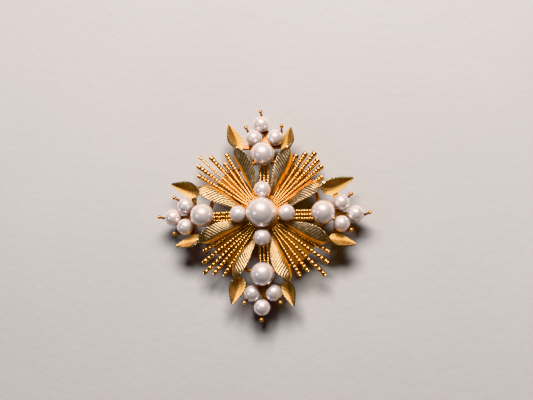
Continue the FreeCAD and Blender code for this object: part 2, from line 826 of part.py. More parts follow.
def make_catch_rotor():
    body = doc.addObject("PartDesign::Body", "CatchRotor")
    ring = circles(body, "RotorRound", "YZ_Plane", ["Sizes.rotor_dia / 2", "Sizes.rotor_bore_dia / 2"])
    both_ways(body, "Pad", "Rotor", ring, "Sizes.rotor_width")
    mouth = wedge(body, "RotorMouthShape", "270 - Sizes.mouth_half_angle", "270 + Sizes.mouth_half_angle")
    both_ways(body, "Pocket", "RotorMouth", mouth, "Sizes.rotor_width + 2")
    angle, half = "Sizes.lever_angle", "Sizes.lever_thickness / 2"
    corners = []
    for reach, side in (("1.1", "-"), ("Sizes.lever_reach", "-"), ("Sizes.lever_reach", ""), ("1.1", "")):
        flip = "+" if side == "-" else "-"
        corners.append(
            (
                f"{reach} * cos({angle}) {flip} {half} * sin({angle})",
                f"{reach} * sin({angle}) {side or '+'} {half} * cos({angle})",
            )
        )
    lever = outline(body, "LeverShape", "YZ_Plane", corners)
    both_ways(body, "Pad", "Lever", lever, "Sizes.lever_width")
    body.Placement = catch_place()
    named(body, "catch_rotor")


def check(things):
    for thing in doc.Objects:
        bad = [state for state in thing.State if state in ("Invalid", "Error")]
        if bad:
            raise SystemExit(f"{thing.Name} ({thing.Label}) is {bad}")
    for thing in things:
        shape = thing.Shape
        if shape.isNull() or not shape.isValid() or not shape.Solids:
            raise SystemExit(f"{thing.Label} has no valid solid")


make_hub()
ring_height = make_gallery_ring()
make_back_bar()
make_centre_pearl()
make_ring_pearls()
make_arm_pearls()
make_arm_rods()
make_fans()
for arm_name in ARMS:
    make_bud_cluster(arm_name)
make_leaves()
make_leaf_posts(ring_height)
make_hinge_bracket()
make_hinge_rivet()
make_pin_stem()
make_catch_body()
make_catch_rotor()

doc.recompute()
check(parts)
os.makedirs("parts", exist_ok=True)
for part in parts:
    part.Shape.exportStep(f"parts/{part.Label}.step")
print(f"{len(parts)} sub-parts written")
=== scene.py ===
import math
import random

import bpy
from mathutils import Matrix, Vector


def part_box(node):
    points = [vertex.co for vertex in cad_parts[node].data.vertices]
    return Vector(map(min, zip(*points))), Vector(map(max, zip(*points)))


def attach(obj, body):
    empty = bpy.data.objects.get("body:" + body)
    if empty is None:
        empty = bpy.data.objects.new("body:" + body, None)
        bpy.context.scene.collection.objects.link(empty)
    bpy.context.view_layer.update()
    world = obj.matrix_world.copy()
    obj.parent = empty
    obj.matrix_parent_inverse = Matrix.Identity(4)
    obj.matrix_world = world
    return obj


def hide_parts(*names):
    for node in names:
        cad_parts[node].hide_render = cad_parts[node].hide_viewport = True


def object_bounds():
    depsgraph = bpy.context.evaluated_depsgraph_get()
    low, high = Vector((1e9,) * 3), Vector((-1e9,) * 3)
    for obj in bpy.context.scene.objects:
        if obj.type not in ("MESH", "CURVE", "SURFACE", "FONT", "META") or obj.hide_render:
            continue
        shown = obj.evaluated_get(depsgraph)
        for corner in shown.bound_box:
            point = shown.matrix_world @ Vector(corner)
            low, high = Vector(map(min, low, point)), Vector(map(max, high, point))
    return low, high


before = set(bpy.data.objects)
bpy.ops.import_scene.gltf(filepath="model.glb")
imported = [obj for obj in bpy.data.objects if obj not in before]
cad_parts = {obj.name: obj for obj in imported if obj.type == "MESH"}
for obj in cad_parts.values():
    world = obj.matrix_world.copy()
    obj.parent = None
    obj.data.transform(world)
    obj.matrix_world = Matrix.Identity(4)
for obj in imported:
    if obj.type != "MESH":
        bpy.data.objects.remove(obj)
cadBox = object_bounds()
random.seed(7)
mm = 0.001


# small helpers, used by every piece

def clearSelection():
    if bpy.context.object and bpy.context.object.mode != "OBJECT":
        bpy.ops.object.mode_set(mode="OBJECT")
    bpy.ops.object.select_all(action="DESELECT")


def pickOnly(piece):
    clearSelection()
    piece.select_set(True)
    bpy.context.view_layer.objects.active = piece


def takePiece(name):
    piece = bpy.context.object
    piece.name = name
    piece.data.name = name
    return piece


def copyPiece(master, name, place):
    piece = master.copy()
    piece.data = master.data.copy()
    piece.name = name
    piece.data.name = name
    bpy.context.scene.collection.objects.link(piece)
    piece.matrix_world = place
    pickOnly(piece)
    bpy.ops.object.transform_apply(location=True, rotation=True, scale=True)
    return piece


def joinPieces(pieces, name):
    clearSelection()
    for piece in pieces:
        piece.select_set(True)
    bpy.context.view_layer.objects.active = pieces[0]
    bpy.ops.object.join()
    return takePiece(name)


def dressPiece(piece, materials):
    piece.data.materials.clear()
    for material in materials:
        piece.data.materials.append(material)


def turnedBy(degrees):
    return Matrix.Rotation(math.radians(degrees), 4, "Z")


def alongLine(start, end):
    run = end - start
    return Matrix.Translation(start) @ run.to_track_quat("Z", "Y").to_matrix().to_4x4()


# camera and light

cameraView = {
    "azimuth": 38.0,
    "elevation": 76.0,
    "distance": 0.5,
    "lens": 147.5,
    "aside": 1.21 * mm,  # where it aims, off the middle pearl
    "above": 2.79 * mm,
}


def viewAxes(azimuth, elevation):
    a, e = math.radians(azimuth), math.radians(elevation)
    back = Vector((math.sin(a) * math.cos(e), -math.cos(a) * math.cos(e), math.sin(e)))
    right = Vector((0, 1, 0)).cross(back).normalized()
    return right, back.cross(right), back


def addCamera():
    low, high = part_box("centre_pearl")
    right, up, back = viewAxes(cameraView["azimuth"], cameraView["elevation"])
    aim = (low + high) / 2 + right * cameraView["aside"] + up * cameraView["above"]
    data = bpy.data.cameras.new("camera")
    data.lens = cameraView["lens"]
    data.sensor_width = 36
    data.clip_start = 0.01
    data.clip_end = 20
    camera = bpy.data.objects.new("camera", data)
    bpy.context.scene.collection.objects.link(camera)
    turn = Matrix((right, up, back)).transposed().to_4x4()
    camera.matrix_world = Matrix.Translation(aim + back * cameraView["distance"]) @ turn
    bpy.context.scene.camera = camera
    bpy.context.scene.view_settings.view_transform = "Khronos PBR Neutral"


lights = {  # towards: how far right, up and forward of the brooch a light stands, as the camera sees it
    "keyPanel": {
        "towards": (-0.07, 0.70, 0.71),
        "distance": 0.5,
        "size": (0.30, 0.18),
        "power": 5.1,
        "colour": (1.0, 0.97, 0.95),
    },
    "windowPanel": {
        "towards": (-0.80, -0.10, 0.59),
        "distance": 0.5,
        "size": (0.05, 0.11),
        "power": 0.16,
        "colour": (0.55, 0.68, 1.0),
    },
}
roomGlow = {"colour": (0.95, 0.76, 0.62, 1), "strength": 0.06}


def addLights():
    right, up, back = viewAxes(cameraView["azimuth"], cameraView["elevation"])
    for name, light in lights.items():
        data = bpy.data.lights.new(name, "AREA")
        data.shape = "RECTANGLE"
        data.size, data.size_y = light["size"]
        data.energy = light["power"]
        data.color = light["colour"]
        lamp = bpy.data.objects.new(name, data)
        bpy.context.scene.collection.objects.link(lamp)
        x, y, z = light["towards"]
        towards = (right * x + up * y + back * z).normalized()
        aim = towards.to_track_quat("Z", "Y").to_matrix().to_4x4()
        lamp.matrix_world = Matrix.Translation(towards * light["distance"]) @ aim
    world = bpy.data.worlds.new("room")
    bpy.context.scene.world = world
    world.use_nodes = True
    glow = world.node_tree.nodes["Background"]
    glow.inputs["Color"].default_value = roomGlow["colour"]
    glow.inputs["Strength"].default_value = roomGlow["strength"]


addCamera()
addLights()
print("camera and lights are in")


# shared effects

def newGroup(name, inputs, outputs):
    group = bpy.data.node_groups.new(name, "ShaderNodeTree")
    for label, kind, value in inputs:
        socket = group.interface.new_socket(name=label, in_out="INPUT", socket_type=kind)
        socket.default_value = value
    for label, kind in outputs:
        group.interface.new_socket(name=label, in_out="OUTPUT", socket_type=kind)
    inside = group.nodes.new("NodeGroupInput")
    outside = group.nodes.new("NodeGroupOutput")
    return group, inside, outside


def addNode(tree, kind, **settings):
    node = tree.nodes.new("ShaderNode" + kind)
    for key, value in settings.items():
        if hasattr(node, key):
            setattr(node, key, value)
        else:
            node.inputs[key].default_value = value
    return node


def addMath(tree, operation, first, second=None):
    node = tree.nodes.new("ShaderNodeMath")
    node.operation = operation
    for socket, value in zip(node.inputs, (first, second)):
        if value is None:
            continue
        if isinstance(value, (int, float)):
            socket.default_value = value
        else:
            tree.links.new(value, socket)
    return node.outputs[0]


def addMix(tree, factor, first, second):
    node = tree.nodes.new("ShaderNodeMix")
    node.data_type = "RGBA"
    for socket, value in ((node.inputs[0], factor), (node.inputs[6], first), (node.inputs[7], second)):
        if isinstance(value, (int, float)):
            socket.default_value = value
        elif isinstance(value, tuple):
            socket.default_value = (*value, 1)
        else:
            tree.links.new(value, socket)
    return node.outputs[2]


# the recess reach and contrast set the painted shade in corners; grain, drift and bump are the cast
# surface itself
grainAndPaintedShade = {
    "recessReach": 0.8 * mm,
    "recessContrast": 1.7,
    "grainSize": 0.25 * mm,
    "driftScale": 420.0,  # slow change of colour over a piece
    "bump": 0.25,  # how strongly the grain stands up, and how deep it is
    "bumpDepth": 0.02 * mm,
}


def makePaintedShadeGroup():  # painted shade: dark in corners and under neighbours, where shade falls
    reach, contrast = grainAndPaintedShade["recessReach"], grainAndPaintedShade["recessContrast"]
    group, inside, outside = newGroup(
        "goldPaintedShade",
        [("Reach", "NodeSocketFloat", reach), ("Contrast", "NodeSocketFloat", contrast)],
        [("Depth", "NodeSocketFloat")],
    )
    shade = addNode(group, "AmbientOcclusion", samples=6)
    group.links.new(inside.outputs["Reach"], shade.inputs["Distance"])
    closed = addMath(group, "SUBTRACT", 1.0, shade.outputs["AO"])
    depth = addMath(group, "MULTIPLY", closed, inside.outputs["Contrast"])
    node = addNode(group, "Clamp")
    group.links.new(depth, node.inputs["Value"])
    group.links.new(node.outputs[0], outside.inputs["Depth"])
    return group


def makeGrainGroup():  # fine casting grain and soft colour drift
    group, inside, outside = newGroup(
        "castGrain",
        [("Size", "NodeSocketFloat", grainAndPaintedShade["grainSize"])],
        [("Drift", "NodeSocketFloat"), ("Grain", "NodeSocketFloat")],
    )
    place = addNode(group, "TexCoord")
    scale = addMath(group, "DIVIDE", 1.0, inside.outputs["Size"])
    fine = addNode(group, "TexNoise", Detail=3.0, Roughness=0.6)
    group.links.new(place.outputs["Object"], fine.inputs["Vector"])
    group.links.new(scale, fine.inputs["Scale"])
    wide = addNode(group, "TexNoise", Scale=grainAndPaintedShade["driftScale"], Detail=2.0)
    group.links.new(place.outputs["Object"], wide.inputs["Vector"])
    group.links.new(wide.outputs["Fac"], outside.inputs["Drift"])
    group.links.new(fine.outputs["Fac"], outside.inputs["Grain"])
    return group


paintedShadeGroup = makePaintedShadeGroup()
grainGroup = makeGrainGroup()


def newMaterial(name):
    material = bpy.data.materials.new(name)
    material.use_nodes = True
    tree = material.node_tree
    return material, tree, tree.nodes["Principled BSDF"]


def addGroup(tree, group, **values):
    node = tree.nodes.new("ShaderNodeGroup")
    node.node_tree = group
    for key, value in values.items():
        node.inputs[key].default_value = value
    return node


def addBump(tree, height, strength, distance):
    bump = addNode(tree, "Bump", Strength=strength, Distance=distance)
    tree.links.new(height, bump.inputs["Height"])
    return bump.outputs["Normal"]


def addRoughness(tree, shader, grain, rough):  # rough: on the smooth grain and on the coarse grain
    spread = addNode(tree, "MapRange")
    spread.inputs["To Min"].default_value = rough[0]
    spread.inputs["To Max"].default_value = rough[1]
    tree.links.new(grain.outputs["Grain"], spread.inputs["Value"])
    tree.links.new(spread.outputs[0], shader.inputs["Roughness"])


metalTones = {  # reach: how far from a corner the painted shade of a recess starts; deep: the colour of that painted shade
    "polished": {
        "light": (1.0, 0.57, 0.20),
        "warm": (0.94, 0.42, 0.11),
        "deep": (0.24, 0.065, 0.012),
        "rough": (0.18, 0.32),
        "reach": 1.2 * mm,
    },
    "reeded": {
        "light": (1.0, 0.65, 0.24),
        "warm": (0.96, 0.47, 0.12),
        "deep": (0.16, 0.045, 0.010),
        "rough": (0.13, 0.25),
        "reach": 0.7 * mm,
    },
    # the web's dark brown tones are painted shade: the sheet between the rods is coloured as if it lay in
    # shadow
    "web": {
        "light": (0.50, 0.20, 0.04),
        "warm": (0.36, 0.13, 0.025),
        "deep": (0.10, 0.03, 0.006),
        "rough": (0.34, 0.50),
        "reach": 0.9 * mm,
    },
    # a darkened gold for the pieces that lie under the rods and leaves: painted shade
    "shaded": {
        "light": (0.68, 0.30, 0.07),
        "warm": (0.52, 0.20, 0.045),
        "deep": (0.12, 0.035, 0.008),
        "rough": (0.30, 0.46),
        "reach": 1.2 * mm,
    },
    "findings": {
        "light": (0.92, 0.62, 0.24),
        "warm": (0.86, 0.52, 0.16),
        "deep": (0.30, 0.13, 0.03),
        "rough": (0.24, 0.38),
        "reach": 0.6 * mm,
    },
    # the leaf's cut edge and its beads: silvered gold, made paler than the leaf as a painted highlight
    # along the edge
    "rim": {
        "light": (1.0, 0.86, 0.58),
        "warm": (0.96, 0.76, 0.42),
        "deep": (0.5, 0.3, 0.1),
        "rough": (0.16, 0.28),
        "reach": 0.2 * mm,
    },
    "steel": {
        "light": (0.64, 0.63, 0.62),
        "warm": (0.52, 0.51, 0.49),
        "deep": (0.18, 0.17, 0.16),
        "rough": (0.20, 0.34),
        "reach": 0.4 * mm,
    },
}


def makeMetal(name, tone):
    material, tree, shader = newMaterial(name)
    paintedShade = addGroup(tree, paintedShadeGroup, Reach=tone["reach"])
    grain = addGroup(tree, grainGroup)
    base = addMix(tree, grain.outputs["Drift"], tone["warm"], tone["light"])
    # painted shade: the colour goes to the deep tone in corners and under neighbours
    colour = addMix(tree, paintedShade.outputs["Depth"], base, tone["deep"])
    tree.links.new(colour, shader.inputs["Base Color"])
    addRoughness(tree, shader, grain, tone["rough"])
    shader.inputs["Metallic"].default_value = 1.0
    bump = addBump(tree, grain.outputs["Grain"], grainAndPaintedShade["bump"], grainAndPaintedShade["bumpDepth"])
    tree.links.new(bump, shader.inputs["Normal"])
    return material


polishedGold = makeMetal("polishedGold", metalTones["polished"])
reededGold = makeMetal("reededGold", metalTones["reeded"])
shadedGold = makeMetal("shadedGold", metalTones["shaded"])
shadedWebGold = makeMetal("shadedWebGold", metalTones["web"])
findingsGold = makeMetal("findingsGold", metalTones["findings"])
pinSteel = makeMetal("pinSteel", metalTones["steel"])
leafRimAndHighlight = makeMetal("silveredRimAndPaintedHighlight", metalTones["rim"])

leafFinish = {
    "silvered": (0.63, 0.485, 0.305),  # on the ridges of the engraved half
    # painted shade in the cuts, and the colour that darkened patches of old gilding pull towards
    "silveredDeep": (0.11, 0.05, 0.015),
    "mottle": 0.55,  # how much the old gilding has darkened in patches
    "bright": (1.0, 0.50, 0.09),  # the steep plain half
    "back": (1.0, 0.62, 0.22),
    # painted shade in the cuts of the back, and the colour its darkened patches pull towards
    "backDeep": (0.20, 0.075, 0.014),
    "backMetal": 0.40,  # the back is matt from the mould and takes light softly
    "rib": 0.68,  # where the rib runs, across the leaf
    "ribBlend": 0.03,
    "cutsAlong": 25.0,
    "cutsAcross": 5.6,
    # painted shade in the leaf's corners and under its neighbours
    "paintedShade": (0.26, 0.10, 0.02),
    "reach": 0.9 * mm,
    "grainSize": 0.22 * mm,
    "patchScale": 1500.0,
    "patchEdges": (0.42, 0.62),  # from fully darkened to clean
    "bump": 0.4,
    "bumpDepth": 0.03 * mm,
    "frontRough": (0.34, 0.54),
    "backRough": (0.32, 0.50),
}


def addCuts(tree):  # the slanting engraved cuts: 0 in a cut, 1 on the ridge between two
    place = addNode(tree, "TexCoord")
    split = addNode(tree, "SeparateXYZ")
    tree.links.new(place.outputs["UV"], split.inputs[0])
    u = addMath(tree, "MULTIPLY", split.outputs["X"], leafFinish["cutsAlong"] * math.pi)
    v = addMath(tree, "MULTIPLY", split.outputs["Y"], leafFinish["cutsAcross"] * math.pi)
    ridge = addMath(tree, "ABSOLUTE", addMath(tree, "SINE", addMath(tree, "ADD", u, v)))
    return ridge, split


def makeLeafGold(name, high, deep, steep, rough, metal):
    material, tree, shader = newMaterial(name)
    ridge, split = addCuts(tree)
    paintedShade = addGroup(tree, paintedShadeGroup, Reach=leafFinish["reach"])
    grain = addGroup(tree, grainGroup, Size=leafFinish["grainSize"])
    side = addNode(tree, "MapRange")  # 1 on the engraved half, 0 on the steep half
    side.inputs["From Min"].default_value = leafFinish["rib"] + leafFinish["ribBlend"]
    side.inputs["From Max"].default_value = leafFinish["rib"] - leafFinish["ribBlend"]
    tree.links.new(split.outputs["Y"], side.inputs["Value"])
    patches = addNode(tree, "TexNoise", Scale=leafFinish["patchScale"], Detail=3.0)
    tree.links.new(addNode(tree, "TexCoord").outputs["Object"], patches.inputs["Vector"])
    worn = addNode(tree, "MapRange")
    worn.inputs["From Min"].default_value = leafFinish["patchEdges"][0]
    worn.inputs["From Max"].default_value = leafFinish["patchEdges"][1]
    worn.inputs["To Min"].default_value = 1.0 - leafFinish["mottle"]
    tree.links.new(patches.outputs["Fac"], worn.inputs["Value"])
    # painted shade: the cuts take the dark colour and the ridges the light one
    engraved = addMix(tree, addMath(tree, "MULTIPLY", ridge, worn.outputs[0]), deep, high)
    colour = addMix(tree, side.outputs[0], steep, engraved)
    # painted shade in corners and under neighbours
    shaded = addMix(tree, paintedShade.outputs["Depth"], colour, leafFinish["paintedShade"])
    tree.links.new(shaded, shader.inputs["Base Color"])
    addRoughness(tree, shader, grain, rough)
    shader.inputs["Metallic"].default_value = metal
    bump = addBump(tree, grain.outputs["Grain"], leafFinish["bump"], leafFinish["bumpDepth"])
    tree.links.new(bump, shader.inputs["Normal"])
    return material


leafFront = makeLeafGold(
    "engravedLeafFront", leafFinish["silvered"], leafFinish["silveredDeep"], leafFinish["bright"],
    leafFinish["frontRough"], 1.0,
)
leafBack = makeLeafGold(
    "engravedLeafBack", leafFinish["back"], leafFinish["backDeep"], leafFinish["back"],
    leafFinish["backRough"], leafFinish["backMetal"],
)

pearlFinish = {
    "nacre": (0.78, 0.74, 0.75),
    "blush": (0.86, 0.73, 0.67),
    "metal": 0.45,  # nacre reflects its surroundings all over, not only at its rim
    "roughness": 0.26,
    "glint": 0.7,
    "depth": 0.4,  # how much light goes under the skin, how far, and how far for each colour
    "depthScale": 1.0 * mm,
    "depthColours": (1.0, 0.6, 0.45),
    "coatRoughness": 0.14,
    "coatIor": 1.9,
    "glow": 0.7,  # the soft glow round the edge
    "glowRoughness": 0.3,
    "glowColour": (1.0, 0.70, 0.55, 1),
    "driftScale": 260.0,
    "rippleScale": 900.0,
    "ripple": 0.05,
    "rippleDepth": 0.02 * mm,
}


def makePearl():
    material, tree, shader = newMaterial("pearlNacre")
    place = addNode(tree, "TexCoord")
    drift = addNode(tree, "TexNoise", Scale=pearlFinish["driftScale"], Detail=3.0)
    tree.links.new(place.outputs["Object"], drift.inputs["Vector"])
    colour = addMix(tree, drift.outputs["Fac"], pearlFinish["nacre"], pearlFinish["blush"])
    tree.links.new(colour, shader.inputs["Base Color"])
    shader.inputs["Metallic"].default_value = pearlFinish["metal"]
    shader.inputs["Roughness"].default_value = pearlFinish["roughness"]
    shader.inputs["Specular IOR Level"].default_value = pearlFinish["glint"]
    shader.inputs["Subsurface Weight"].default_value = pearlFinish["depth"]
    shader.inputs["Subsurface Radius"].default_value = pearlFinish["depthColours"]
    shader.inputs["Subsurface Scale"].default_value = pearlFinish["depthScale"]
    shader.inputs["Coat Weight"].default_value = 1.0
    shader.inputs["Coat Roughness"].default_value = pearlFinish["coatRoughness"]
    shader.inputs["Coat IOR"].default_value = pearlFinish["coatIor"]
    shader.inputs["Sheen Weight"].default_value = pearlFinish["glow"]
    shader.inputs["Sheen Roughness"].default_value = pearlFinish["glowRoughness"]
    shader.inputs["Sheen Tint"].default_value = pearlFinish["glowColour"]
    ripple = addNode(tree, "TexNoise", Scale=pearlFinish["rippleScale"], Detail=2.0)
    tree.links.new(place.outputs["Object"], ripple.inputs["Vector"])
    bump = addBump(tree, ripple.outputs["Fac"], pearlFinish["ripple"], pearlFinish["rippleDepth"])
    tree.links.new(bump, shader.inputs["Normal"])
    return material


pearlNacre = makePearl()
print("materials are mixed")


# rods

cone = {"apex": 6.9 * mm, "fall": math.radians(8.0)}  # what all the rods lie on
armNames = {"east": 0, "north": 90, "west": 180, "south": 270}

fanRods = {
    "start": 3.6 * mm,
    "rootDia": 0.30 * mm,
    "widest": 1.40 * mm,  # tip sizes
    "wide": 1.22 * mm,
    "regular": 1.12 * mm,
    "thin": 0.66 * mm,
    "sides": 14,
    "firstRib": 0.42 * mm,  # the rib pitch at the root
    "ribs": {  # the rib pitch at the tip, and the share of the thickness left in a groove
        "widest": (0.74 * mm, 0.80),
        "wide": (0.80 * mm, 0.78),
        "regular": (1.02 * mm, 0.70),
        "thin": (0.70 * mm, 0.76),
    },
    "span": 14.0 * mm,  # the length a rod is made at, before it is stretched to its reach
    "boreDepth": 0.7 * mm,
    "sink": 0.015 * mm,
}

fans = {  # diagonal, tip size, and each rod's turn in degrees and reach in millimetres
    "north_east": (
        45, "widest",
        [(-11.5, 16.2), (-4.3, 17.7), (1.2, 18.1), (6.5, 18.9), (11.8, 17.6), (17.4, 16.1)],
    ),
    "north_west": (
        135, "wide",
        [(-13.6, 17.5), (-8.5, 15.8), (-3.4, 19.4), (1.7, 21.6), (6.8, 20.2), (12.1, 18.8)],
    ),
    "south_west": (225, "regular", [(-16.6, 16.2), (-9.4, 17.8), (-2.8, 19.3), (2.6, 17.8), (9.8, 16.6)]),
    "south_east": (315, "regular", [(-14.7, 16.2), (-7.4, 16.6), (0.0, 19.8), (7.8, 18.4), (15.0, 17.2)]),
}
thinRod = ("north_west", 3)  # the one thin rod: its fan, and its place in it

armRods = {
    "start": 3.2 * mm,
    "end": 16.2 * mm,
    "dia": 0.86 * mm,
    "pitch": 0.88 * mm,
    "rib": 0.60 * mm,
    "groove": 0.76,
    "sides": 16,
    "boreDepth": 0.5 * mm,
}

ribShape = {
    "profile": ((0.14, 0.60), (0.34, 0.96), (0.66, 1.0), (0.86, 0.60), (1.0, 0.0)),  # along it, how full
    "end": 0.97,  # the last rib is cut off almost at its full size
    "boreMouth": 0.66,
    "boreTaper": 0.85,
    "smoothBelow": math.radians(50),
}


def coneHeight(reach):
    return cone["apex"] - reach * math.tan(cone["fall"])


def extrudeRing(rise, grow, height):
    bpy.ops.mesh.extrude_region_move(TRANSFORM_OT_translate={"value": (0, 0, rise)})
    if grow != 1.0:
        bpy.ops.transform.resize(value=(grow, grow, 1), center_override=(0, 0, height))


def makeReededRod(name, length, rootRadius, tipRadius, firstRib, lastRib, groove, sides, boreDepth):
    # an upright rod from z = 0, ribbed all the way and hollow at its top
    ribs = round(2 * length / (firstRib + lastRib))
    pitches = [firstRib + (lastRib - firstRib) * n / (ribs - 1) for n in range(ribs)]
    stretch = length / sum(pitches)
    height, radius = 0.0, rootRadius * groove
    clearSelection()
    bpy.ops.mesh.primitive_circle_add(vertices=sides, radius=radius, fill_type="NGON", location=(0, 0, 0))
    rod = takePiece(name)
    bpy.ops.object.mode_set(mode="EDIT")
    bpy.ops.mesh.select_all(action="SELECT")
    for n, pitch in enumerate(pitches):
        pitch *= stretch
        for share, swell in ribShape["profile"]:
            top = sum(pitches[:n]) * stretch + pitch * share
            full = rootRadius + (tipRadius - rootRadius) * top / length
            wanted = full * (groove + (1 - groove) * swell)
            if n == ribs - 1 and share == 1.0:
                wanted = full * ribShape["end"]
            extrudeRing(top - height, wanted / radius, top)
            height, radius = top, wanted
    extrudeRing(0, ribShape["boreMouth"], height)
    extrudeRing(-boreDepth, ribShape["boreTaper"], height - boreDepth)
    bpy.ops.object.mode_set(mode="OBJECT")
    bpy.ops.object.shade_smooth_by_angle(angle=ribShape["smoothBelow"])
    return rod


def rodPlace(turn, start, end, aside=0.0):
    first = turnedBy(turn) @ Vector((start[0], aside, start[1]))
    last = turnedBy(turn) @ Vector((end[0], aside, end[1]))
    return alongLine(first, last), (last - first).length


fanWeb = {
    "start": 6.1 * mm,
    "end": 13.7 * mm,
    "rise": 0.17 * mm,  # its top, over the cone that the rods lie on
    "thickness": 0.24 * mm,
    "steps": 28,
    "smoothBelow": math.radians(40),
}


def addWeb(fan, diagonal, rods):  # the sheet under a fan that its rods are soldered into
    clearSelection()
    bpy.ops.mesh.primitive_plane_add(size=1, location=(0, 0, 0))
    web = takePiece(f"web_{fan}")
    turn = turnedBy(diagonal + rods[0][0])
    for vertex in web.data.vertices:
        reach = fanWeb["start"] if vertex.co.x < 0 else fanWeb["end"]
        drop = fanWeb["thickness"] if vertex.co.y < 0 else 0
        vertex.co = turn @ Vector((reach, 0, coneHeight(reach) + fanWeb["rise"] - drop))
    pickOnly(web)
    bpy.ops.object.mode_set(mode="EDIT")
    bpy.ops.mesh.select_all(action="SELECT")
    sweep = math.radians(rods[-1][0] - rods[0][0])
    bpy.ops.mesh.spin(steps=fanWeb["steps"], angle=-sweep, center=(0, 0, 0), axis=(0, 0, 1))
    bpy.ops.mesh.select_all(action="SELECT")
    bpy.ops.mesh.remove_doubles(threshold=0.001 * mm)
    bpy.ops.mesh.normals_make_consistent(inside=False)
    bpy.ops.object.mode_set(mode="OBJECT")
    bpy.ops.object.shade_smooth_by_angle(angle=fanWeb["smoothBelow"])
    return web


def addFans():
    span = fanRods["span"]
    masters = {}
    for kind in ("widest", "wide", "regular", "thin"):
        masters[kind] = makeReededRod(
            kind + "Rod", span, fanRods["rootDia"] / 2, fanRods[kind] / 2, fanRods["firstRib"],
            *fanRods["ribs"][kind], fanRods["sides"], fanRods["boreDepth"],
        )
    lean = math.cos(cone["fall"])
    for fan, (diagonal, tips, rods) in fans.items():
        pieces = []
        for n, (turn, reach) in enumerate(rods):
            kind = "thin" if (fan, n) == thinRod else tips
            ends = []
            for distance, dia in ((fanRods["start"], fanRods["rootDia"]), (reach * mm, fanRods[kind])):
                ends.append((distance, coneHeight(distance) + dia / 2 / lean - fanRods["sink"]))
            place, length = rodPlace(diagonal + turn, *ends)
            spin = turnedBy(random.uniform(0, 360))
            stretch = Matrix.Diagonal((1, 1, length / span, 1))
            pieces.append(copyPiece(masters[kind], f"rod_{fan}_{n}", place @ spin @ stretch))
            dressPiece(pieces[-1], [reededGold])
        web = addWeb(fan, diagonal, rods)
        dressPiece(web, [shadedWebGold])
        piece = joinPieces([*pieces, web], f"reeded_fan_{fan}")
        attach(piece, "brooch")
        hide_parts(f"fan_{fan}")
    for master in masters.values():
        bpy.data.objects.remove(master)


def addArmRods():
    lean = armRods["dia"] / 2 / math.cos(cone["fall"])
    ends = [(reach, coneHeight(reach) + lean) for reach in (armRods["start"], armRods["end"])]
    length = rodPlace(0, *ends)[1]
    master = makeReededRod(
        "armRod", length, armRods["dia"] / 2, armRods["dia"] / 2, armRods["rib"], armRods["rib"],
        armRods["groove"], armRods["sides"], armRods["boreDepth"],
    )
    for arm, turn in armNames.items():
        pieces = []
        for n, side in enumerate((-1, 0, 1)):
            place = rodPlace(turn, *ends, aside=side * armRods["pitch"])[0]
            pieces.append(copyPiece(master, f"armRod_{arm}_{n}", place @ turnedBy(random.uniform(0, 360))))
        piece = joinPieces(pieces, f"reeded_arm_{arm}")
        dressPiece(piece, [reededGold])
        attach(piece, "brooch")
        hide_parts(f"arm_rods_{arm}")
    bpy.data.objects.remove(master)


addFans()
addArmRods()
print("rods are reeded")


# leaves

leafShape = {  # places across the leaf run from 0 to 1, and heights are shares of its width
    "thickness": 0.34 * mm,
    "rise": 0.24,  # of the rib over the edges
    "crease": 0.10,  # the groove along the rib, and its width
    "creaseWidth": 0.07,
    "swell": 0.035,  # how far each half bulges
    "along": 252,  # faces
    "across": 46,
    "cutDepth": 0.15 * mm,
    "cutLevel": 0.6,  # the share of the depth that lies under the skin
    "fadeIn": 0.06,  # the cuts fade at the rib, at each edge and where the leaf is narrow
    "fadeOut": 0.05,
    "fadeWidth": 1.2 * mm,
    "turned": 0.665,  # how far out the leaf has turned its back up
    "beads": {  # on the edge beside the arm, between two shares of the leaf's length
        "dia": 0.30 * mm,
        "pitch": 0.42 * mm,
        "flat": 0.85,
        "inset": 0.02 * mm,
        "first": 0.07,
        "last": 0.59,
    },
    "regular": (5.0, 15.0, 21.0),  # root, crossing and tip, out from the middle
    "marks": (5.0, 10.5, 16.5, 21.0),  # where each leaf's own bend is given
    "smoothBelow": math.radians(60),
}

# each station: the edge beside the arm that crosses over to the fan, then the other edge
leafStations = [
    ((5.0, 1.60, 6.40), (5.0, 2.15, 6.25)),
    ((6.7, 1.75, 7.15), (6.7, 3.30, 6.75)),
    ((8.8, 2.10, 7.85), (8.6, 4.70, 6.80)),
    ((10.9, 2.65, 8.40), (10.7, 5.95, 6.60)),
    ((12.7, 3.55, 8.75), (12.6, 6.75, 6.25)),
    ((14.0, 4.60, 8.85), (14.0, 6.65, 5.60)),
    ((15.0, 5.95, 8.60), (14.7, 5.45, 5.05)),
    ((15.8, 7.05, 8.10), (15.5, 4.55, 4.80)),
    ((17.0, 7.70, 7.45), (16.9, 4.50, 4.80)),
    ((18.6, 7.85, 6.75), (18.5, 5.25, 5.00)),
    ((20.0, 7.70, 6.15), (20.0, 6.45, 5.35)),
    ((21.0, 7.55, 5.75), (21.0, 7.42, 5.70)),
]

# each leaf was bent by hand: its crossing, its tip, and how far it stands off the regular leaf
leaves = {
    "east_left": (13.6, 20.7, (0.8, 0.3, 0.85)),
    "east_right": (15.2, 21.1, (0.0, -0.1, -0.35)),
    "north_left": (16.1, 21.8, (-0.4, 0.6, 0.9)),
    "north_right": (15.5, 20.7, (-0.1, -0.7, -1.3)),
    "west_left": (14.9, 20.7, (-0.8, -0.7, -0.95)),
    "west_right": (15.6, 21.9, (0.5, 0.45, 0.65)),
    "south_left": (15.6, 21.1, (-0.6, -0.6, -0.7)),
    "south_right": (14.5, 20.3, (0.6, 0.1, 0.1)),
}


def eased(share):
    share = min(max(share, 0.0), 1.0)
    return share * share * (3 - 2 * share)


